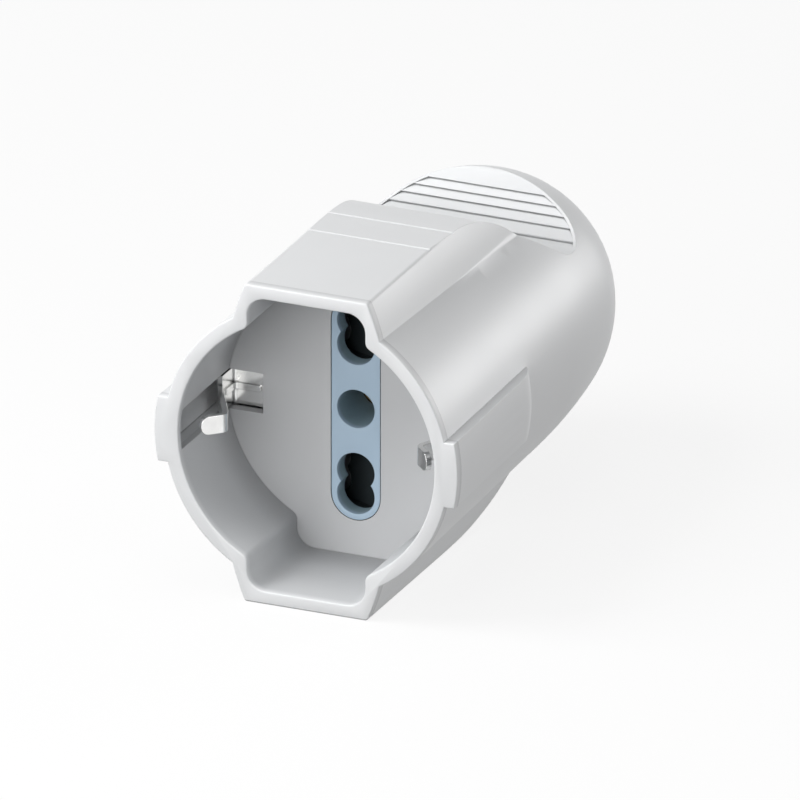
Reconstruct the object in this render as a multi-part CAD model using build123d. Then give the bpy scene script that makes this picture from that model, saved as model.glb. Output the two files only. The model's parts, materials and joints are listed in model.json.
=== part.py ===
from build123d import *
import os
from math import asin, atan, cos, degrees, sin, sqrt, tan

os.makedirs("parts", exist_ok=True)

# In-line mains socket with three pin holes in a row and earth clips at both sides.
# Origin: on the axis, in the plane of the front rim. +Y runs back towards the cable
# outlet, +Z is up along the row of holes. Millimetres.

# Pin layout and recess
small_pitch = 19.0
large_pitch = 26.0
pin_hole_d = 5.7
recess_r = 19.5
recess_depth = 17.5
key_half = 9.0
key_rise = 2.5
key_corner_r = 2.8
key_mouth_r = 1.2

# Outer form: a turned grip, drawn in to a domed bulb behind
rim_wall = 2.1
grip_y = 46.0
grip_r = 20.6
bulb_y = 62.0
bulb_r = 19.27
dome_y = 70.0
dome_r = 16.6
rear_round_r = 9.0

# Rails above and below
rail_cover = 1.9
rail_flat_half = 9.3
rail_root_half = 11.37
rail_root_z = 17.75
rail_foot_half = 12.95
rail_foot_z = 15.95
rail_bulge = 0.15
rail_corner_r = 0.6
outline_lift = 3.0

# Outline seen from the side, with a finger hollow above and below
roll_y = 38.7
roll_drop = 0.75
roll_r = 27.0
valley_y = 58.65
valley_z = 8.69
valley_r = 6.5
crest_y = 64.6
crest_z = 18.95
crest_r = 2.0

# Score lines across the rails
score_front_y = 22.0
score_rear_y = 29.7
score_half = 0.3
score_depth = 0.2

# Ribs on the rising side of each finger hollow
rib_count = 5
rib_rise = 1.1
rib_depth = 0.4
rib_lip = 0.4
rib_sink = 0.68

# Side pads over the earth clips
pad_front_r = 23.1
pad_rear_r = 22.4
pad_taper_y = 26.0
pad_end_y = 31.2
pad_end_drop = 0.3
pad_half = 4.9
pad_top_r = 0.8
pad_foot_r = 2.2

# Walls and fits; a cut runs past the face it opens by the overshoot
overshoot = 1.0
rim_thickness = 1.5
cup_wall = 0.95
floor_wall = 1.6
grip_wall = 1.8
rear_wall = 2.4
slip = 0.1
gap = 0.3

# Cable outlet
cable_r = 5.0
collar_r = 7.2
collar_depth = 5.0
outlet_chamfer = 0.7

# Insert with the pin holes, and the sleeve behind its middle hole
plate_half = 3.7
plate_flange = 1.6
plate_flange_t = 1.0
tube_wall = 0.8
tube_depth = 8.5

# Shutter behind the insert, with its spring
shutter_depth = 4.4
shutter_travel = 6.0
shutter_end_wall = 0.55
shutter_arm_edge = 3.6
shutter_hub_half = 6.2
shutter_hub_t = 3.0
shutter_left_wall = 1.4
shutter_corner_r = 3.0
shutter_toe = 0.6
spring_r = 1.4
spring_wire_r = 0.2
spring_turns = 7
spring_pocket = 1.8
spring_room = 7.2

# Carrier of the contacts
carrier_edge = 0.8
carrier_half = 15.0
carrier_flange_t = 2.0
carrier_skin = 1.0
block_half = 6.6
block_top = 17.5
block_corner_r = 1.0
block_length = 10.0
guide_t = 1.1
guide_half = 5.0
stop_t = 1.3
stop_half = 6.0
spring_wall_t = 0.8
spring_wall_half = 2.6
boss_x = 12.9
boss_z = 9.5
boss_r = 2.2
tail_half = 9.4
tail_t = 2.2
tail_length = 30.0

# Contacts and terminals
small_pin_r = 2.0
large_pin_r = 2.5
contact_wall = 0.8
contact_slit = 0.8
contact_bore = 10.5
neck_r = 2.0
terminal_half = 3.8
terminal_half_z = 3.6
terminal_length = 7.7
terminal_z = 11.4
wire_half = 2.1
wire_depth = 6.3
pressure_t = 0.8
pressure_length = 4.5

# Earth strip with a clip at each side
strip_t = 0.8
strip_half = 2.75
strip_inner_x = 13.3
leg_x = 19.6
leg_end_y = 15.0
strip_bend_r = 0.9
tongue_half = 1.35
touch_x = 14.7
touch_y = 5.8
tip_x = 17.4
tip_y = 3.1
touch_bend_r = 1.0
ear_inner_x = 15.4
ear_outer_x = 18.6
bead_half = 0.45
bead_height = 0.3
bead_start_x = 15.0
bead_end_y = 16.0

# Windows for the clips
window_half = 3.0
window_inner_x = 14.1
window_front_y = 1.0
room_outer_x = 21.9

# Screws: shank radius, head radius, head height
terminal_screw = (1.75, 3.0, 2.0)
carrier_screw = (1.1, 2.1, 1.5)
clamp_screw = (1.5, 2.6, 1.8)
shell_screw = (1.5, 2.9, 1.4)
slot_width = 0.8
slot_depth = 0.8
terminal_grip = 1.6
carrier_grip = 4.0
clamp_grip = 2.6
shell_grip = 5.1
shell_screw_y = 56.0
shell_boss_r = 3.6
shell_boss_z = 9.0
tail_boss_r = 3.0

# Cable clamp
clamp_back = 1.5
clamp_x = 7.2
clamp_width = 4.0
clamp_foot_t = 2.2
clamp_arch_r = 4.3
clamp_arch_t = 1.9
clamp_post_r = 2.1
clamp_split_z = -0.8

# Places worked out from the sizes above
rim_r = recess_r + rim_wall
key_height = recess_r + key_rise
rail_height = key_height + rail_cover
roll_z = rail_height - roll_drop
small_z = small_pitch / 2
large_z = large_pitch / 2
hole_r = pin_hole_d / 2
tube_r = hole_r + tube_wall
tube_end = recess_depth + tube_depth
floor_back = recess_depth + floor_wall
plate_back = floor_back + plate_flange_t
shutter_front = plate_back + 2 * slip
shutter_back = shutter_front + shutter_depth
shutter_opening_r = hole_r + slip
shutter_arm_half = large_z + shutter_opening_r + shutter_end_wall
guide_z = shutter_arm_half + gap
carrier_r = guide_z + guide_t + carrier_edge
shutter_left = -shutter_travel - shutter_opening_r - shutter_left_wall
shutter_right = tube_r + gap + shutter_hub_t
spring_seat = shutter_right - spring_pocket
spring_wall_x = shutter_right + spring_room
carrier_front = shutter_back + gap
carrier_back = carrier_front + carrier_flange_t
block_end = carrier_back + block_length
live_front = carrier_back - carrier_skin
earth_front = max(live_front, tube_end) + gap
web_back = block_end + strip_t
window_outer_x = leg_x + strip_t / 2 + slip
terminal_end = web_back + terminal_length
tail_top = -clamp_arch_r - slip
tail_end = block_end + tail_length
clamp_y = tail_end - clamp_back - clamp_width / 2
ramp_slope = (crest_z - valley_z) / (crest_y - valley_y)
ramp_angle = atan(ramp_slope)
fall_angle = atan((roll_z - valley_z) / (valley_y - roll_y))
valley_run = valley_r * tan((ramp_angle + fall_angle) / 2)
ramp_start_z = valley_z + valley_run * sin(ramp_angle)
hollow_y = valley_y + valley_run * cos(ramp_angle) - valley_r * sin(ramp_angle)
hollow_z = ramp_start_z + valley_r * cos(ramp_angle)
hollow_floor_z = hollow_z - valley_r
shell_skin_z = hollow_z - sqrt(valley_r ** 2 - (shell_screw_y - hollow_y) ** 2)
reach = 5 * rail_height


def box_between(x0, x1, y0, y1, z0, z1):
    """Box between two corners."""
    middle = ((x0 + x1) / 2, (y0 + y1) / 2, (z0 + z1) / 2)
    return Pos(*middle) * Box(x1 - x0, y1 - y0, z1 - z0)


def along_y(sketch, y0, y1):
    """Sketch drawn as X and Z, made solid from y0 back to y1."""
    return extrude(Plane.XZ.offset(-y0) * sketch, amount=-(y1 - y0))


def along_x(sketch, half):
    """Sketch drawn as Y and Z, made solid to both sides of the middle."""
    return extrude(Plane.YZ * sketch, amount=half, both=True)


def along_z(sketch, z0, z1):
    """Sketch drawn as X and Y, made solid from z0 up to z1."""
    return extrude(Plane.XY.offset(z0) * sketch, amount=z1 - z0)


def rod_y(radius, y0, y1, x=0.0, z=0.0):
    return along_y(Pos(x, z) * Circle(radius), y0, y1)


def rod_z(radius, z0, z1, x, y):
    return along_z(Pos(x, y) * Circle(radius), z0, z1)


def both_sides(shape):
    return shape + mirror(shape, Plane.YZ)


def above_and_below(shape):
    return shape + mirror(shape, Plane.XY)


def turned_grip(inset):
    """Turned body from the rim to the rear, drawn in by inset, and where it ends."""
    straight = Line((rim_r - inset, 0), (grip_r - inset, grip_y))
    waist = TangentArc(straight @ 1, (bulb_r - inset, bulb_y), tangent=straight % 1)
    dome = TangentArc(waist @ 1, (dome_r - inset, dome_y), tangent=waist % 1)
    lean = degrees(asin(-(dome % 1).X))
    turn = JernArc(dome @ 1, dome % 1, rear_round_r - inset, 90 - lean)
    end_y = (turn @ 1).Y
    rest = Polyline(turn @ 1, (0, end_y), (0, 0), straight @ 0)
    face = make_face(Curve() + [straight, waist, dome, turn, rest])
    return revolve(face, Axis.Y), end_y


def rail_section():
    """Section through both rails and what joins them, as X and Z."""
    root = (rail_root_half, rail_root_z)
    edge = (rail_flat_half, rail_height)
    foot = (rail_foot_half, rail_foot_z)
    side = SagittaArc(root, edge, -rail_bulge)
    flare = TangentArc(root, foot, tangent=-(side % 0))
    rest = Polyline(edge, (0, rail_height), (0, 0), (rail_foot_half, 0), foot)
    quarter = make_face(Curve() + [side, flare, rest])
    half = quarter + mirror(quarter, Plane.YZ)
    whole = half + mirror(half, Plane.XZ)
    corners = [v for v in whole.vertices()
               if abs(abs(v.X) - rail_flat_half) < slip and abs(abs(v.Y) - rail_height) < slip]
    return fillet(corners, rail_corner_r)


def side_outline():
    """Outline seen from the side, as Y and Z, with both finger hollows."""
    line = FilletPolyline(
        (-score_front_y, rail_height + outline_lift), (score_front_y, rail_height),
        (roll_y, roll_z), (valley_y, valley_z), (crest_y, crest_z), (2 * reach, crest_z),
        radius=[0, roll_r, valley_r, crest_r])
    close = Polyline(line @ 1, (2 * reach, 0), (-score_front_y, 0), line @ 0)
    upper = make_face(Curve() + [line, close])
    return upper + mirror(upper, Plane.XZ)


def side_pads():
    """Raised pads at both sides, turned about the axis, with a rounded rear end."""
    face_line = Line((pad_front_r, 0), (pad_rear_r, pad_taper_y))
    end = TangentArc(face_line @ 1, (grip_r - pad_end_drop, pad_end_y), tangent=face_line % 1)
    rest = Polyline(end @ 1, (0, pad_end_y), (0, 0), face_line @ 0)
    ring = revolve(make_face(Curve() + [face_line, end, rest]), Axis.Y)
    outline = Rectangle(2 * pad_end_y, 2 * pad_half)
    rear = outline.vertices().group_by(Axis.X)[-1].sort_by(Axis.Y)
    outline = fillet(rear[0], pad_foot_r)
    top = outline.vertices().group_by(Axis.Y)[-1].sort_by(Axis.X)[-1]
    outline = fillet(top, pad_top_r)
    return ring & along_x(outline, pad_front_r)


def score_line(y):
    """Shallow V groove across each rail."""
    drop = (rail_height - roll_z) / (roll_y - score_front_y)
    z = rail_height - drop * max(0, y - score_front_y) - score_depth
    groove = Polyline((y, z), (y - 2 * score_half, z + 2 * score_depth),
                      (y + 2 * score_half, z + 2 * score_depth), close=True)
    return above_and_below(along_x(make_face(groove), rail_root_half))


def ramp_point(z, depth=0.0):
    """Point on the rising side of the hollow at height z, sunk in by depth."""
    if z >= ramp_start_z:
        y = valley_y + (z - valley_z) / ramp_slope
        inward = (sin(ramp_angle), -cos(ramp_angle))
    else:
        y = hollow_y + sqrt(valley_r ** 2 - (hollow_z - z) ** 2)
        inward = ((y - hollow_y) / valley_r, (z - hollow_z) / valley_r)
    return (y + depth * inward[0], z + depth * inward[1])


def rib_steps():
    """Saw-tooth steps up the rising side of each hollow, inside a thin lip."""
    steps = []
    for step in range(rib_count):
        high = hollow_floor_z - rib_sink + (step + 1) * rib_rise
        low = max(high - rib_rise, hollow_floor_z + slip)
        tooth = Polyline(ramp_point(low), ramp_point(high, rib_depth),
                         ramp_point(high, -rib_depth), ramp_point(low, -rib_depth), close=True)
        steps.append(along_x(make_face(tooth), rim_r))
    inside_lip, _ = turned_grip(rib_lip)
    return above_and_below((Part() + steps) & inside_lip)


def outer_form():
    """Outer form of the closed socket, and where it ends."""
    grip, end_y = turned_grip(0)
    body = grip + along_y(rail_section(), 0, hollow_y)
    body = body & along_x(side_outline(), rail_height)
    body = body + side_pads()
    body = body - score_line(score_front_y) - score_line(score_rear_y)
    return body - rib_steps(), end_y


def recess_contour(grow):
    """Round recess with its two keyways, as X and Z, grown outward."""
    radius = recess_r + grow
    half = key_half + grow
    shape = Circle(radius) + RectangleRounded(2 * half, 2 * (key_height + grow),
                                              key_corner_r + grow)
    mouth = sqrt(radius ** 2 - half ** 2)
    corners = [v for v in shape.vertices()
               if abs(abs(v.X) - half) < slip / 2 and abs(abs(v.Y) - mouth) < slip / 2]
    mouth_r = key_mouth_r - grow
    return fillet(corners, mouth_r) if mouth_r > slip else shape


def upright_slot(half, centres):
    """Slot along Z with round ends about two points, as X and Z."""
    return Rot(0, 0, 90) * SlotCenterToCenter(centres, 2 * half)


def live_holes(radius):
    """Two pin holes that run into each other, above the middle, as X and Z."""
    return Pos(0, small_z) * Circle(radius) + Pos(0, large_z) * Circle(radius)


def live_sleeve(extra):
    """Section of a live contact around both its bores, as X and Z."""
    small = Circle(small_pin_r + contact_wall + extra)
    large = Circle(large_pin_r + contact_wall + extra)
    return Pos(0, small_z) * small + Pos(0, large_z) * large


def front_body(outer):
    """Rim, recess wall and floor in one moulding."""
    body = outer & box_between(-reach, reach, 0, rim_thickness, -reach, reach)
    body = body + along_y(recess_contour(cup_wall), rim_thickness, floor_back)
    body = body - along_y(recess_contour(0), -overshoot, recess_depth)
    wall = box_between(window_inner_x, room_outer_x, window_front_y, recess_depth,
                       -window_half, window_half)
    wall = wall & rod_y(recess_r + cup_wall, 0, floor_back)
    floor = box_between(window_inner_x, window_outer_x, recess_depth - slip, floor_back + slip,
                        -window_half, window_half)
    body = body - both_sides(wall + floor)
    body = body - along_y(upright_slot(plate_half + slip, large_pitch),
                          recess_depth - slip, floor_back + slip)
    pilot_r = carrier_screw[0] + slip
    for side in (-1, 1):
        x, z = side * boss_x, side * boss_z
        body = body + rod_y(boss_r, floor_back, carrier_front, x, z)
        body = body - rod_y(pilot_r, carrier_front - carrier_grip - slip, carrier_front, x, z)
    return body


def handle_shell(outer, end_y):
    """Hollow grip with rails, pads and finger hollows."""
    seat_y = floor_back + 2 * slip
    body = outer & box_between(-reach, reach, rim_thickness, reach, -reach, reach)
    body = body - along_y(recess_contour(cup_wall + slip), 0, seat_y)
    inner, _ = turned_grip(grip_wall)
    inner = inner + along_y(offset(rail_section(), -grip_wall), 0, hollow_y)
    inner = inner & along_x(offset(side_outline(), -grip_wall), rail_height)
    inner = inner & box_between(-reach, reach, seat_y - slip, end_y - rear_wall, -reach, reach)
    body = body - inner
    room = box_between(recess_r - overshoot, room_outer_x, rim_thickness,
                       floor_back + strip_t + gap, -window_half - slip, window_half + slip)
    body = body - both_sides(room)
    body = body + rod_y(collar_r, end_y - collar_depth, end_y - rear_wall / 2)
    body = body - rod_y(cable_r, end_y - 2 * collar_depth, end_y + overshoot)
    body = body - Pos(0, end_y - outlet_chamfer, 0) * Rot(-90, 0, 0) * Cone(
        cable_r, cable_r + outlet_chamfer, outlet_chamfer,
        align=(Align.CENTER, Align.CENTER, Align.MIN))
    boss = rod_z(shell_boss_r, -rail_height, -shell_boss_z, 0, shell_screw_y)
    body = body + (boss & outer)
    shank, head, height = shell_screw
    body = body - rod_z(shank + slip, -rail_height, 0, 0, shell_screw_y)
    body = body - rod_z(head + slip, -rail_height, -shell_skin_z, 0, shell_screw_y)
    return body - countersunk(shank + slip, head + slip, height)


def countersunk(shank, head, height):
    """Cone of the shell screw's head, open end down."""
    return Pos(0, shell_screw_y, -shell_skin_z) * Cone(
        head, shank, height, align=(Align.CENTER, Align.CENTER, Align.MIN))


def hole_plate():
    """Insert with the pin holes and its flange."""
    body = along_y(upright_slot(plate_half, large_pitch), recess_depth, plate_back)
    body = body + along_y(upright_slot(plate_half + plate_flange, large_pitch),
                          floor_back, plate_back)
    body = body - rod_y(hole_r, recess_depth - overshoot, plate_back + overshoot)
    holes = along_y(live_holes(hole_r), recess_depth - overshoot, plate_back + overshoot)
    return body - above_and_below(holes)


def middle_sleeve():
    """Sleeve behind the middle hole, held between the insert and the carrier."""
    body = rod_y(tube_r, plate_back, tube_end)
    return body - rod_y(hole_r, plate_back - overshoot, tube_end + overshoot)


def shutter():
    """Sliding shutter: two arms with a wedge and an opening, joined beside the tube."""
    arms = box_between(shutter_left, shutter_arm_edge, shutter_front, shutter_back,
                       -shutter_arm_half, shutter_arm_half)
    arms = fillet(arms.edges().filter_by(Axis.Y), shutter_corner_r)
    hub = box_between(shutter_left, shutter_right, shutter_front, shutter_back,
                      -shutter_hub_half, shutter_hub_half)
    slot_half = tube_r + gap
    slot = box_between(shutter_left - overshoot, slot_half, shutter_front - overshoot,
                       shutter_back + overshoot, -slot_half, slot_half)
    opening = Pos(-shutter_travel, 0) * live_holes(shutter_opening_r)
    body = arms + hub - slot
    opening = along_y(opening, shutter_front - overshoot, shutter_back + overshoot)
    body = body - above_and_below(opening)
    near = hole_r - slip
    far = -shutter_travel
    wedge = make_face(Polyline((near, shutter_front), (far, shutter_back - shutter_toe),
                               (far, shutter_front - overshoot), (near, shutter_front - overshoot),
                               close=True))
    top = large_z + shutter_opening_r
    low = small_z - shutter_opening_r
    body = body - above_and_below(along_z(wedge, low, top))
    middle_y = (shutter_front + shutter_back) / 2
    pocket = Pos(spring_seat, middle_y, 0) * Rot(0, 90, 0) * Cylinder(
        spring_r + spring_wire_r + gap, 2 * spring_pocket,
        align=(Align.CENTER, Align.CENTER, Align.MIN))
    return body - pocket


def shutter_spring():
    """Coil spring between the shutter and the carrier's end wall, at rest."""
    length = spring_wall_x - spring_seat - 2 * spring_wire_r - 2 * slip
    coil = Helix(length / spring_turns, length, spring_r)
    wire = sweep(Plane(coil @ 0, z_dir=coil % 0) * Circle(spring_wire_r), path=coil,
                 is_frenet=True)
    middle_y = (shutter_front + shutter_back) / 2
    return Pos(spring_seat + spring_wire_r + slip, middle_y, 0) * Rot(0, 90, 0) * wire


def contact_carrier():
    """Moulding behind the shutter that holds the contacts, with the cable clamp's seat."""
    flange = Circle(carrier_r) & Rectangle(2 * carrier_half, 4 * carrier_r)
    body = along_y(flange, carrier_front, carrier_back)
    block = RectangleRounded(2 * block_half, 2 * block_top, block_corner_r)
    body = body + along_y(block, carrier_front, block_end)
    guide = box_between(-guide_half, guide_half, plate_back + gap, carrier_back,
                        guide_z, guide_z + guide_t)
    body = body + above_and_below(guide)
    body = body + box_between(shutter_left - gap - stop_t, shutter_left - gap,
                              plate_back + gap, carrier_back, -stop_half, stop_half)
    body = body + box_between(spring_wall_x, spring_wall_x + spring_wall_t,
                              plate_back + gap, carrier_back, -spring_wall_half, spring_wall_half)
    holes = along_y(live_holes(hole_r), carrier_front - overshoot, carrier_back)
    holes = holes + along_y(live_sleeve(slip), live_front - slip, block_end + overshoot)
    body = body - above_and_below(holes)
    body = body - rod_y(tube_r + slip, carrier_front - overshoot, earth_front)
    body = body - rod_y(large_pin_r + contact_wall + slip, earth_front - slip,
                        block_end + overshoot)
    for side in (-1, 1):
        body = body - rod_y(carrier_screw[0] + slip, carrier_front - overshoot,
                            carrier_back + overshoot, side * boss_x, side * boss_z)
    body = body + box_between(-tail_half, tail_half, block_end - overshoot, tail_end,
                              tail_top - tail_t, tail_top)
    body = body + rod_z(tail_boss_r, -shell_boss_z + slip, tail_top, 0, shell_screw_y)
    shank_top = -shell_skin_z + shell_screw[2] + shell_grip
    body = body - rod_z(shell_screw[0] + slip, -rail_height, shank_top + slip, 0, shell_screw_y)
    for side in (-1, 1):
        body = body + rod_z(clamp_post_r, tail_top - tail_t, clamp_split_z,
                            side * clamp_x, clamp_y)
        body = body - rod_z(clamp_screw[0] + slip, clamp_split_z - clamp_grip - slip,
                            clamp_split_z, side * clamp_x, clamp_y)
    return body


def terminal_block(z, front):
    """Block with a wire hole from behind and a screw hole from the right."""
    body = box_between(-terminal_half, terminal_half, front, terminal_end,
                       z - terminal_half_z, z + terminal_half_z)
    body = body - box_between(-wire_half, wire_half, terminal_end - wire_depth,
                              terminal_end + overshoot, z - wire_half, z + wire_half)
    screw = Pos(0, terminal_screw_y(), z) * Rot(0, 90, 0) * Cylinder(
        terminal_screw[0] + slip / 2, 2 * terminal_half,
        align=(Align.CENTER, Align.CENTER, Align.MIN))
    return body - screw


def terminal_screw_y():
    return terminal_end - wire_depth / 2


def live_contact(side):
    """Live contact for both pin sizes, with its terminal; side is 1 above, -1 below."""
    bore_end = live_front + contact_bore
    body = along_y(live_sleeve(0), live_front, web_back)
    small = Pos(0, small_z) * Circle(small_pin_r)
    large = Pos(0, large_z) * Circle(large_pin_r)
    body = body - along_y(small + large, live_front - overshoot, bore_end)
    for z in (small_z, large_z):
        body = body - box_between(0, terminal_half, live_front - overshoot, bore_end,
                                  z - contact_slit / 2, z + contact_slit / 2)
    body = body + terminal_block(terminal_z, web_back)
    return body if side > 0 else mirror(body, Plane.XY)


def earth_contact():
    """Middle contact, riveted through the web of the earth strip."""
    bore_end = min(earth_front + contact_bore, block_end - contact_wall)
    body = rod_y(large_pin_r + contact_wall, earth_front, block_end)
    body = body - rod_y(large_pin_r, earth_front - overshoot, bore_end)
    body = body - box_between(0, terminal_half, earth_front - overshoot, bore_end,
                              -contact_slit / 2, contact_slit / 2)
    return body + rod_y(neck_r, block_end - contact_wall, web_back) + terminal_block(0, web_back)


def earth_strip():
    """Folded strip: a clip at each side, side ears and the web behind the carrier."""
    base_y = floor_back + strip_t / 2
    path = FilletPolyline(
        (strip_inner_x, base_y), (leg_x, base_y), (leg_x, leg_end_y), (touch_x, touch_y),
        (tip_x, tip_y), radius=[strip_bend_r, touch_bend_r, touch_bend_r])
    strip = along_z(trace(path, strip_t), -strip_half, strip_half)
    tongue = box_between(0, reach, leg_end_y, reach, -strip_half, strip_half) + \
        box_between(0, reach, 0, reach, -tongue_half, tongue_half)
    strip = strip & tongue
    tip = strip.faces().sort_by(Axis.Y)[0]
    strip = fillet(tip.edges().sort_by(SortBy.LENGTH)[:2], tongue_half - slip)
    bead_path = FilletPolyline(
        (bead_start_x, base_y - bead_height), (leg_x - bead_height, base_y - bead_height),
        (leg_x - bead_height, bead_end_y), radius=strip_bend_r)
    bead = along_z(trace(bead_path, strip_t), -bead_half, bead_half)
    bead_end = bead.faces().sort_by(Axis.X)[0]
    bead = fillet(bead_end.edges().sort_by(SortBy.LENGTH)[:2], bead_half - slip)
    strip = strip + bead
    ear = box_between(ear_inner_x, ear_outer_x, floor_back, web_back,
                      strip_half - strip_t, strip_half)
    web = box_between(-ear_outer_x, ear_outer_x, block_end, web_back,
                      -strip_half, strip_half)
    body = both_sides(strip + ear) + web
    return body - rod_y(neck_r + slip / 2, block_end - overshoot, web_back + overshoot)


def slotted(radius, height):
    """Screw head standing on the origin, with a driver slot."""
    head = Cylinder(radius, height, align=(Align.CENTER, Align.CENTER, Align.MIN))
    slot = Pos(0, 0, height) * Box(2 * radius + overshoot, slot_width, 2 * slot_depth)
    return head - slot


def pan_screw(sizes, grip):
    """Screw with its head above the origin and a shank of length grip below it."""
    shank_r, head_r, height = sizes
    shank = Cylinder(shank_r, grip, align=(Align.CENTER, Align.CENTER, Align.MAX))
    return slotted(head_r, height) + shank


def terminal_screw_at(z):
    place = Pos(terminal_half + terminal_grip, terminal_screw_y(), z) * Rot(0, 90, 0)
    length = terminal_half + terminal_grip - pressure_t - slip
    return place * pan_screw(terminal_screw, length)


def pressure_plate(z):
    y = terminal_screw_y()
    return box_between(slip, slip + pressure_t, y - pressure_length / 2,
                       y + pressure_length / 2, z - wire_half + slip, z + wire_half - slip)


def carrier_screw_at(side):
    place = Pos(side * boss_x, carrier_back, side * boss_z) * Rot(-90, 0, 0)
    return place * pan_screw(carrier_screw, carrier_flange_t + carrier_grip)


def cable_clamp():
    """Saddle over the cable, held down by two screws."""
    y0 = clamp_y - clamp_width / 2
    y1 = clamp_y + clamp_width / 2
    foot_top = clamp_split_z + clamp_foot_t
    body = box_between(-tail_half, tail_half, y0, y1, clamp_split_z, foot_top)
    arch = rod_y(clamp_arch_r + clamp_arch_t, y0, y1)
    body = body + (arch & box_between(-reach, reach, y0, y1, clamp_split_z, reach))
    body = body - rod_y(clamp_arch_r, y0 - overshoot, y1 + overshoot)
    for side in (-1, 1):
        body = body - rod_z(clamp_screw[0] + slip, clamp_split_z - overshoot,
                            foot_top + overshoot, side * clamp_x, clamp_y)
        body = body - rod_z(clamp_screw[1] + slip, foot_top, reach, side * clamp_x, clamp_y)
    return body


def clamp_screw_at(side):
    place = Pos(side * clamp_x, clamp_y, clamp_split_z + clamp_foot_t)
    return place * pan_screw(clamp_screw, clamp_foot_t + clamp_grip)


def shell_screw_solid():
    """Countersunk screw through the lower finger hollow into the carrier's tail."""
    shank, head, height = shell_screw
    body = countersunk(shank, head, height)
    slot = Pos(0, shell_screw_y, -shell_skin_z) * Box(2 * head, slot_width, 2 * slot_depth)
    return body - slot + rod_z(shank, -shell_skin_z + height,
                               -shell_skin_z + height + shell_grip, 0, shell_screw_y)


outer, rear_y = outer_form()
nodes = {
    "front_body": front_body(outer),
    "handle_shell": handle_shell(outer, rear_y),
    "hole_plate": hole_plate(),
    "middle_sleeve": middle_sleeve(),
    "shutter": shutter(),
    "shutter_spring": shutter_spring(),
    "contact_carrier": contact_carrier(),
    "line_contact": live_contact(1),
    "neutral_contact": live_contact(-1),
    "earth_contact": earth_contact(),
    "earth_strip": earth_strip(),
    "cable_clamp": cable_clamp(),
    "shell_screw": shell_screw_solid(),
}
for name, z in (("line", terminal_z), ("neutral", -terminal_z), ("earth", 0)):
    nodes["terminal_screw_" + name] = terminal_screw_at(z)
    nodes["pressure_plate_" + name] = pressure_plate(z)
for name, side in (("left", -1), ("right", 1)):
    nodes["carrier_screw_" + name] = carrier_screw_at(side)
    nodes["clamp_screw_" + name] = clamp_screw_at(side)

for name, shape in nodes.items():
    export_step(shape, f"parts/{name}.step")
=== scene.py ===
import json
import math

import bmesh
import bpy
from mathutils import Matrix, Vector

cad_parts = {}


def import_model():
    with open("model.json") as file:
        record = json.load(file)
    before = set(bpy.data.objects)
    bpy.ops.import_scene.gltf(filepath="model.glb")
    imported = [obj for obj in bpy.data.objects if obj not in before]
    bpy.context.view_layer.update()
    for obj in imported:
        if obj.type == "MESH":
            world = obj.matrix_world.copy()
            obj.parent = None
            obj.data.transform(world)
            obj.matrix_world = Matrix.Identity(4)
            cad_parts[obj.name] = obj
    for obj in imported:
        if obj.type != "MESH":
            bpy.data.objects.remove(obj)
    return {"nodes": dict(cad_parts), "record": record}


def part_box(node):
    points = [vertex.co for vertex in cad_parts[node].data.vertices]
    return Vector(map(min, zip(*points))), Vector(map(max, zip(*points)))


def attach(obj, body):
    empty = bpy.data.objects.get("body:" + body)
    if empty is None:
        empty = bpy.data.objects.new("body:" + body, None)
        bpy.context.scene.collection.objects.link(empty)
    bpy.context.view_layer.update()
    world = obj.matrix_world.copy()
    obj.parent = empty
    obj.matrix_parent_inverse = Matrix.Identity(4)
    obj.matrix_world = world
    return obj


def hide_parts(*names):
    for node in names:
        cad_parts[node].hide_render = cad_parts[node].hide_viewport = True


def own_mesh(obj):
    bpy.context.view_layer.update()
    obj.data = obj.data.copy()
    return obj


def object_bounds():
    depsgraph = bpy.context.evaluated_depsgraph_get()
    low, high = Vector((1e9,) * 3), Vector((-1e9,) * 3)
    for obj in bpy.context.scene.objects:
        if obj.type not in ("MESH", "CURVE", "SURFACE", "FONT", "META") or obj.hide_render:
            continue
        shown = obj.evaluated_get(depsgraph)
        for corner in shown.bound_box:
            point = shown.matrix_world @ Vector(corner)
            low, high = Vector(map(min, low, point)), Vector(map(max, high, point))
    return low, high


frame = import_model()
cad_low, cad_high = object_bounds()
nodes = frame["nodes"]
plate_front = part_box("hole_plate")[0].y
MM = 0.001

# Camera: parallel view, turned to the object's right and looking down
AZIMUTH = math.radians(23.5)
ELEVATION = math.radians(22.3)
VIEW_WIDTH = 111.64 * MM
VIEW_CENTRE = Vector((10.95, 7.80, 6.80)) * MM
CAMERA_AWAY = 0.6
CAMERA_NEAR = 0.01
CAMERA_FAR = 10.0

# Angle from which an edge is sharp, the same among fine cuts, and up to which faces are one
SHARP = math.radians(32)
CRISP = math.radians(9)
FLAT = math.radians(0.4)

# How near to each other two places count as one
MERGE = 0.0005 * MM

# Radius that the light finds on every edge, radius of the edges of rim and insert, and its steps
BROKEN_EDGE = 0.12 * MM
FRONT_EDGE = 0.22 * MM
FRONT_EDGE_STEPS = 3

# Where the ribs of the finger hollows start
RIBS_Y = 58.7 * MM
RIBS_Z = 11.0 * MM

# Where the rails carry their score lines
SCORES_FRONT = 21.0 * MM
SCORES_REAR = 31.0 * MM
SCORES_Z = 23.5 * MM

# Moulded plastic: sheen, and size and detail of its flow clouds and of its grain
SHEEN = 0.45
CLOUD_SIZE = 9 * MM
CLOUD_DETAIL = 3.0
SPECK_SIZE = 0.35 * MM
SPECK_DETAIL = 2.0

# How far its colour goes below and above its shade, the palest it gets, and what leads it there
DARKER = 0.975
LIGHTER = 1.02
PALEST = 0.95
CLOUD_SHARE = 0.8
SPECK_SHARE = 0.2

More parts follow.
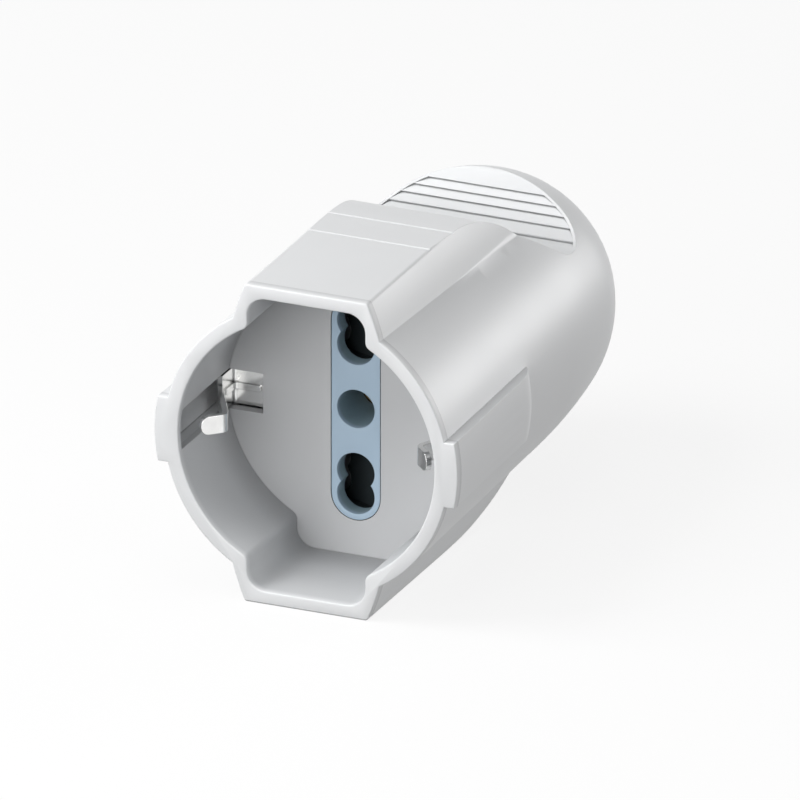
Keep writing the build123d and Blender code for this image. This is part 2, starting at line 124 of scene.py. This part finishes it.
# Metal: size and detail of tarnish patches and of drawing marks, and how long the marks run
TARNISH_SIZE = 1.6 * MM
TARNISH_DETAIL = 4.0
TARNISH_SHADE = 0.86
MARK_SIZE = 0.06 * MM
MARK_DETAIL = 2.0
MARK_STRETCH = (0.12, 1.0, 1.0)

# How much smoother than its average a finish may be, and how much rougher each pattern makes it
SMOOTHER = 0.05
CLOUD_ROUGHER = 0.06
SPECK_ROUGHER = 0.04
TARNISH_ROUGHER = 0.08
MARK_ROUGHER = 0.05

# How open a point in a crease is, at full painted shade and at none
CREASE_SHUT = 0.35
CREASE_OPEN = 0.82

# How wide creases are, and the painted shade that darkens their colour
CREASE_WIDTH = 0.5 * MM
METAL_CREASE_WIDTH = 0.9 * MM
CREASE_SHADE = 0.42
METAL_CREASE_SHADE = 0.22

# How many rays feel for a rounded edge, and how many for a crease
EDGE_RAYS = 6
CREASE_RAYS = 8

# Sockets of the Mix node where it mixes colours: the mask, both colours and the result
MIX_MASK = 0
MIX_LOW = 6
MIX_HIGH = 7
MIX_RESULT = 2

# Depths between which the insert's holes and the recess get their painted darker shade
HOLE_START = 0.2 * MM
HOLE_DEEP = 1.2 * MM
MOUTH_START = 0.1 * MM
MOUTH_END = 1.5 * MM
CUP_START = 2 * MM
CUP_END = 17 * MM
FOOT_START = 10 * MM
FOOT_END = 17.4 * MM

# Share of the painted darker shade that the recess has from its mouth, its depth and its wall's
# foot
MOUTH_SHARE = 0.36
CUP_SHARE = 0.12
FOOT_SHARE = 0.32

# How far a surface faces the front when it starts to count as floor, and when it does fully
FLOOR_STARTS = 0.5
FLOOR_FULLY = 0.9

# The studio: its white, and its faint light from all round
WHITE_LIGHT = (1.0, 1.0, 1.0, 1.0)
SKY = 0.04

# The floor: its tone where it lights the object, its glow to the camera, and half its width
FLOOR_TONE = 0.08
FLOOR_GLOW = 0.85
FLOOR_HALF = 3.0


class Wire:
    """A shader socket, so that expressions on it add their Math nodes."""

    def __init__(self, finish, socket):
        self.finish = finish
        self.socket = socket

    def maths(self, operation, first, second):
        return self.finish.node("ShaderNodeMath", {"operation": operation}, {0: first, 1: second})

    def __add__(self, other):
        return self.maths("ADD", self, other)

    def __radd__(self, other):
        return self.maths("ADD", other, self)

    def __sub__(self, other):
        return self.maths("SUBTRACT", self, other)

    def __rsub__(self, other):
        return self.maths("SUBTRACT", other, self)

    def __mul__(self, other):
        return self.maths("MULTIPLY", self, other)

    def __rmul__(self, other):
        return self.maths("MULTIPLY", other, self)


class Finish:
    """A material with its surface shader, and one way to add any other node."""

    def __init__(self, name, slot, roughness, metallic=0.0, **fixed):
        self.slot = slot
        self.material = bpy.data.materials.new(name)
        self.material.use_nodes = True
        self.tree = self.material.node_tree
        self.surface = self.tree.nodes["Principled BSDF"]
        self.surface.inputs["Roughness"].default_value = roughness
        self.surface.inputs["Metallic"].default_value = metallic
        for socket, value in fixed.items():
            self.surface.inputs[socket.replace("_", " ")].default_value = value
        self.place = self.node("ShaderNodeTexCoord", {}, {}, "Object")

    def node(self, kind, settings, values, output=0):
        made = self.tree.nodes.new(kind)
        for setting, value in settings.items():
            setattr(made, setting, value)
        for socket, value in values.items():
            self.feed(made.inputs[socket], value)
        return Wire(self, made.outputs[output])

    def feed(self, socket, value):
        if isinstance(value, Wire):
            self.tree.links.new(value.socket, socket)
        else:
            socket.default_value = value

    def noise(self, size, detail, place=None):
        """Noise from 0 to 1 whose patches are about the given size in metres."""
        return self.node("ShaderNodeTexNoise", {},
                         {"Vector": place or self.place, "Scale": 1 / size, "Detail": detail})

    def along(self, axis):
        """Place along X, Y or Z in metres."""
        return self.node("ShaderNodeSeparateXYZ", {}, {"Vector": self.place}, axis)

    def facing(self, axis):
        """How far the surface faces along X, Y or Z, from -1 to 1."""
        normal = self.node("ShaderNodeTexCoord", {}, {}, "Normal")
        return self.node("ShaderNodeSeparateXYZ", {}, {"Vector": normal}, axis)

    def ease(self, value, start, end):
        """Soft step from 0 at start to 1 at end."""
        return self.node("ShaderNodeMapRange", {"interpolation_type": "SMOOTHSTEP"},
                         {"Value": value, "From Min": start, "From Max": end})

    def between(self, mask, low, high):
        """Colour from low to high as the mask goes from 0 to 1."""
        low, high = (end if isinstance(end, Wire) else (*end, 1.0) for end in (low, high))
        return self.node("ShaderNodeMix", {"data_type": "RGBA"},
                         {MIX_MASK: mask, MIX_LOW: low, MIX_HIGH: high}, MIX_RESULT)

    def colour(self, value):
        self.feed(self.surface.inputs["Base Color"], value)

    def roughness(self, value):
        self.feed(self.surface.inputs["Roughness"], value)

    def bump(self, height, depth):
        """Grain that stands the given depth in metres, on edges that are a little rounded."""
        rounded = self.node("ShaderNodeBevel", {"samples": EDGE_RAYS}, {"Radius": BROKEN_EDGE})
        bumped = self.node("ShaderNodeBump", {},
                           {"Height": height, "Strength": 1.0, "Distance": depth,
                            "Normal": rounded})
        self.feed(self.surface.inputs["Normal"], bumped)

    def creases(self, width):
        """1 in grooves and along seams up to about the given width in metres: where shade is
        painted into creases.
        """
        open_share = self.node("ShaderNodeAmbientOcclusion", {"samples": CREASE_RAYS},
                               {"Distance": width}, "AO")
        return 1.0 - self.ease(open_share, CREASE_SHUT, CREASE_OPEN)


def moulded(name, slot, shade, roughness, grain, painted_shade=None, where=None):
    """Moulded plastic: faint flow clouds, a fine grain, shade painted into its creases, and
    roughness that wanders a little. The mask given with it says which part gets a darker painted
    shade."""
    finish = Finish(name, slot, roughness, Specular_IOR_Level=SHEEN)
    clouds = finish.noise(CLOUD_SIZE, CLOUD_DETAIL)
    speck = finish.noise(SPECK_SIZE, SPECK_DETAIL)
    darker = [part * DARKER for part in shade]
    lighter = [min(part * LIGHTER, PALEST) for part in shade]
    crease_shaded = [part * CREASE_SHADE for part in shade]
    colour = finish.between(clouds * CLOUD_SHARE + speck * SPECK_SHARE, darker, lighter)
    # Painted shade, darker where the mask says so
    if painted_shade:
        colour = finish.between(where(finish), colour, painted_shade)
    # Shade painted into grooves and seams
    colour = finish.between(finish.creases(CREASE_WIDTH), colour, crease_shaded)
    finish.colour(colour)
    finish.roughness(roughness - SMOOTHER + clouds * CLOUD_ROUGHER + speck * SPECK_ROUGHER)
    finish.bump(speck, grain)
    return finish


def metal(name, slot, shade, roughness, grain):
    """Plated or bare metal with fine drawing marks, slight tarnish, and shade painted into its
    creases.
    """
    finish = Finish(name, slot, roughness, metallic=1.0)
    tarnish = finish.noise(TARNISH_SIZE, TARNISH_DETAIL)
    drawn = finish.node("ShaderNodeMapping", {}, {"Vector": finish.place, "Scale": MARK_STRETCH})
    marks = finish.noise(MARK_SIZE, MARK_DETAIL, drawn)
    duller = [part * TARNISH_SHADE for part in shade]
    metal_crease_shaded = [part * METAL_CREASE_SHADE for part in shade]
    colour = finish.between(tarnish, duller, shade)
    # Shade painted into creases, such as along the foot of the clip's bead
    finish.colour(finish.between(finish.creases(METAL_CREASE_WIDTH), colour, metal_crease_shaded))
    finish.roughness(roughness - SMOOTHER + tarnish * TARNISH_ROUGHER + marks * MARK_ROUGHER)
    finish.bump(marks, grain)
    return finish


def painted_hole_shade(finish):
    """Mask of the shade painted down in the insert's holes: 0 on its face, 1 down in the holes.
    """
    return finish.ease(finish.along("Y"), plate_front + HOLE_START, plate_front + HOLE_DEEP)


def painted_cup_shade(finish):
    """Mask of the shade painted into the recess: 0 on the rim, rising fast inside the mouth,
    then slowly, and most on the wall's foot.
    """
    depth = finish.along("Y")
    mouth = finish.ease(depth, MOUTH_START, MOUTH_END) * MOUTH_SHARE
    further = finish.ease(depth, CUP_START, CUP_END) * CUP_SHARE
    wall = 1.0 - finish.ease(finish.facing("Y") * -1.0, FLOOR_STARTS, FLOOR_FULLY)
    foot = finish.ease(depth, FOOT_START, FOOT_END) * wall * FOOT_SHARE
    return mouth + further + foot


# The grip's white is set a little darker than the cup's, a painted shade that keeps its brightly
# lit ribs from going full white
WHITE = moulded("grip_white", "white_plastic", shade=(0.79, 0.80, 0.81), roughness=0.42,
                grain=0.004 * MM)
# The cup is painted darker inside its mouth, towards its floor and most at its wall's foot:
# painted shade
CUP = moulded("cup_white", "white_plastic", shade=(0.82, 0.83, 0.84), roughness=0.42,
              grain=0.004 * MM, painted_shade=(0.32, 0.325, 0.335), where=painted_cup_shade)
# The insert is painted darker down in its holes: painted shade
BLUE_GREY = moulded("insert_blue_grey", "blue_grey_plastic", shade=(0.44, 0.57, 0.695),
                    roughness=0.5, grain=0.006 * MM, painted_shade=(0.30, 0.41, 0.47),
                    where=painted_hole_shade)
BLACK = moulded("shutter_black", "black_plastic", shade=(0.012, 0.016, 0.018), roughness=0.45,
                grain=0.005 * MM)
GREY = moulded("carrier_grey", "grey_plastic", shade=(0.50, 0.51, 0.52), roughness=0.5,
               grain=0.006 * MM)
NICKEL = metal("clip_nickel", "nickel", shade=(0.91, 0.91, 0.90), roughness=0.17,
               grain=0.0006 * MM)
BRASS = metal("contact_brass", "brass", shade=(0.62, 0.47, 0.25), roughness=0.4,
              grain=0.001 * MM)
STEEL = metal("screw_steel", "steel", shade=(0.58, 0.59, 0.61), roughness=0.35,
              grain=0.001 * MM)

finish_of_slot = {finish.slot: finish
                  for finish in (WHITE, BLUE_GREY, BLACK, GREY, NICKEL, BRASS, STEEL)}
slot_of_node = {row["node"]: row["material_slot"] for row in frame["record"]["subparts"]}
for name, slot in slot_of_node.items():
    nodes[name].material_slots[0].material = finish_of_slot[slot].material


def at_front(place):
    return abs(place.y) < MERGE


def at_plate_front(place):
    return abs(place.y - plate_front) < MERGE


def finely_cut(place):
    """Whether a place is among the ribs of a finger hollow or the score lines of a rail."""
    ribs = place.y > RIBS_Y and abs(place.z) > RIBS_Z
    scores = SCORES_FRONT < place.y < SCORES_REAR and abs(place.z) > SCORES_Z
    return ribs or scores


def lies_in(edge, area):
    """Whether both ends of an edge are at places that the area takes in."""
    return area is not None and all(area(end.co) for end in edge.verts)


def dressed(name, node, finish, broken=None, crisp=None):
    """A copy of a CAD node with its doubles merged. The sharp edges where broken says so
    are rounded, and where crisp says so even faint edges stay crisp."""
    form = bmesh.new()
    form.from_mesh(nodes[node].data)
    bmesh.ops.remove_doubles(form, verts=form.verts, dist=MERGE)
    bmesh.ops.dissolve_limit(form, angle_limit=FLAT, verts=form.verts, edges=form.edges,
                             use_dissolve_boundaries=False, delimit={"NORMAL"})
    if broken:
        sharp = [edge for edge in form.edges
                 if len(edge.link_faces) == 2 and edge.calc_face_angle(0.0) > SHARP
                 and lies_in(edge, broken)]
        bmesh.ops.bevel(form, geom=sharp, offset=FRONT_EDGE, offset_type="OFFSET",
                        affect="EDGES", segments=FRONT_EDGE_STEPS, profile=0.5, material=-1,
                        clamp_overlap=True, loop_slide=True)
    for face in form.faces:
        face.smooth = True
    for edge in form.edges:
        limit = CRISP if lies_in(edge, crisp) else SHARP
        edge.smooth = len(edge.link_faces) == 2 and edge.calc_face_angle(0.0) < limit
    mesh = bpy.data.meshes.new(name)
    form.to_mesh(mesh)
    form.free()
    piece = bpy.data.objects.new(name, mesh)
    bpy.context.scene.collection.objects.link(piece)
    mesh.materials.append(finish.material)
    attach(piece, "housing")
    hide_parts(node)
    return piece


dressed("front_moulding", "front_body", CUP, broken=at_front)
dressed("grip_moulding", "handle_shell", WHITE, crisp=finely_cut)
dressed("pin_insert", "hole_plate", BLUE_GREY, broken=at_plate_front)
dressed("clip_strip", "earth_strip", NICKEL)

# A copy of the shutter's spring with a mesh of its own; on the real socket the open shutter
# presses it together by its whole travel
coil = dressed("coil_spring", "shutter_spring", STEEL)
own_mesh(coil)


def camera():
    """Parallel view at the angle and scale of the photograph."""
    back = Vector((math.sin(AZIMUTH) * math.cos(ELEVATION),
                   -math.cos(AZIMUTH) * math.cos(ELEVATION), math.sin(ELEVATION)))
    data = bpy.data.cameras.new("camera")
    data.type = "ORTHO"
    data.ortho_scale = VIEW_WIDTH
    data.clip_start = CAMERA_NEAR
    data.clip_end = CAMERA_FAR
    made = bpy.data.objects.new("camera", data)
    made.location = VIEW_CENTRE + back * CAMERA_AWAY
    made.rotation_mode = "QUATERNION"
    made.rotation_quaternion = (-back).to_track_quat("-Z", "Y")
    bpy.context.scene.collection.objects.link(made)
    bpy.context.scene.camera = made


def softbox(name, place, power, size):
    """Square area lamp aimed at the middle of the object."""
    data = bpy.data.lights.new(name, "AREA")
    data.shape = "SQUARE"
    data.size = size
    data.energy = power
    made = bpy.data.objects.new(name, data)
    middle = (cad_low + cad_high) / 2
    made.location = middle + Vector(place)
    made.rotation_mode = "QUATERNION"
    made.rotation_quaternion = (-Vector(place)).to_track_quat("-Z", "Y")
    bpy.context.scene.collection.objects.link(made)


def seen_directly(tree):
    """1 for what the camera sees, straight or in a reflection or through glass."""
    path = tree.nodes.new("ShaderNodeLightPath")
    total = path.outputs["Is Camera Ray"]
    for ray in ("Is Glossy Ray", "Is Transmission Ray"):
        either = tree.nodes.new("ShaderNodeMath")
        either.operation = "MAXIMUM"
        tree.links.new(total, either.inputs[0])
        tree.links.new(path.outputs[ray], either.inputs[1])
        total = either.outputs[0]
    return total


def world():
    """Faint light from all round, which the camera sees as white, in reflections too."""
    made = bpy.data.worlds.new("studio")
    bpy.context.scene.world = made
    made.use_nodes = True
    tree = made.node_tree
    add, link = tree.nodes.new, tree.links.new
    light = tree.nodes["Background"]
    light.inputs["Color"].default_value = WHITE_LIGHT
    light.inputs["Strength"].default_value = SKY
    white = add("ShaderNodeBackground")
    white.inputs["Color"].default_value = WHITE_LIGHT
    mix = add("ShaderNodeMixShader")
    link(seen_directly(tree), mix.inputs[0])
    link(light.outputs[0], mix.inputs[1])
    link(white.outputs[0], mix.inputs[2])
    link(mix.outputs[0], tree.nodes["World Output"].inputs["Surface"])


def floor():
    """Plain floor, white to the camera but for the object's soft shadow."""
    form = bmesh.new()
    bmesh.ops.create_grid(form, x_segments=1, y_segments=1, size=FLOOR_HALF)
    mesh = bpy.data.meshes.new("floor")
    form.to_mesh(mesh)
    form.free()
    made = bpy.data.objects.new("floor", mesh)
    made.location.z = cad_low.z
    bpy.context.scene.collection.objects.link(made)
    paper = bpy.data.materials.new("floor_paper")
    paper.use_nodes = True
    tree = paper.node_tree
    tree.nodes.clear()
    add, link = tree.nodes.new, tree.links.new
    dim, pale = add("ShaderNodeBsdfDiffuse"), add("ShaderNodeBsdfDiffuse")
    dim.inputs["Color"].default_value = (FLOOR_TONE, FLOOR_TONE, FLOOR_TONE, 1.0)
    pale.inputs["Color"].default_value = WHITE_LIGHT
    glow = add("ShaderNodeEmission")
    seen, either = add("ShaderNodeMixShader"), add("ShaderNodeMixShader")
    seen.inputs[0].default_value = FLOOR_GLOW
    link(pale.outputs[0], seen.inputs[1])
    link(glow.outputs[0], seen.inputs[2])
    out = add("ShaderNodeOutputMaterial")
    link(seen_directly(tree), either.inputs[0])
    link(dim.outputs[0], either.inputs[1])
    link(seen.outputs[0], either.inputs[2])
    link(either.outputs[0], out.inputs["Surface"])
    mesh.materials.append(paper)


bpy.context.scene.view_settings.view_transform = "Standard"
camera()
softbox("key", place=(-0.33, -0.22, 0.45), power=2.5, size=0.35)
softbox("front", place=(-0.10, -0.50, 0.05), power=2.8, size=0.55)
softbox("side", place=(0.27, -0.13, 0.04), power=0.18, size=0.14)
softbox("edge", place=(0.32, 0.51, 0.06), power=1.5, size=0.20)
softbox("top", place=(0.00, 0.00, 0.55), power=0.38, size=0.30)
softbox("back", place=(-0.55, 0.30, 0.05), power=0.6, size=0.30)
world()
floor()
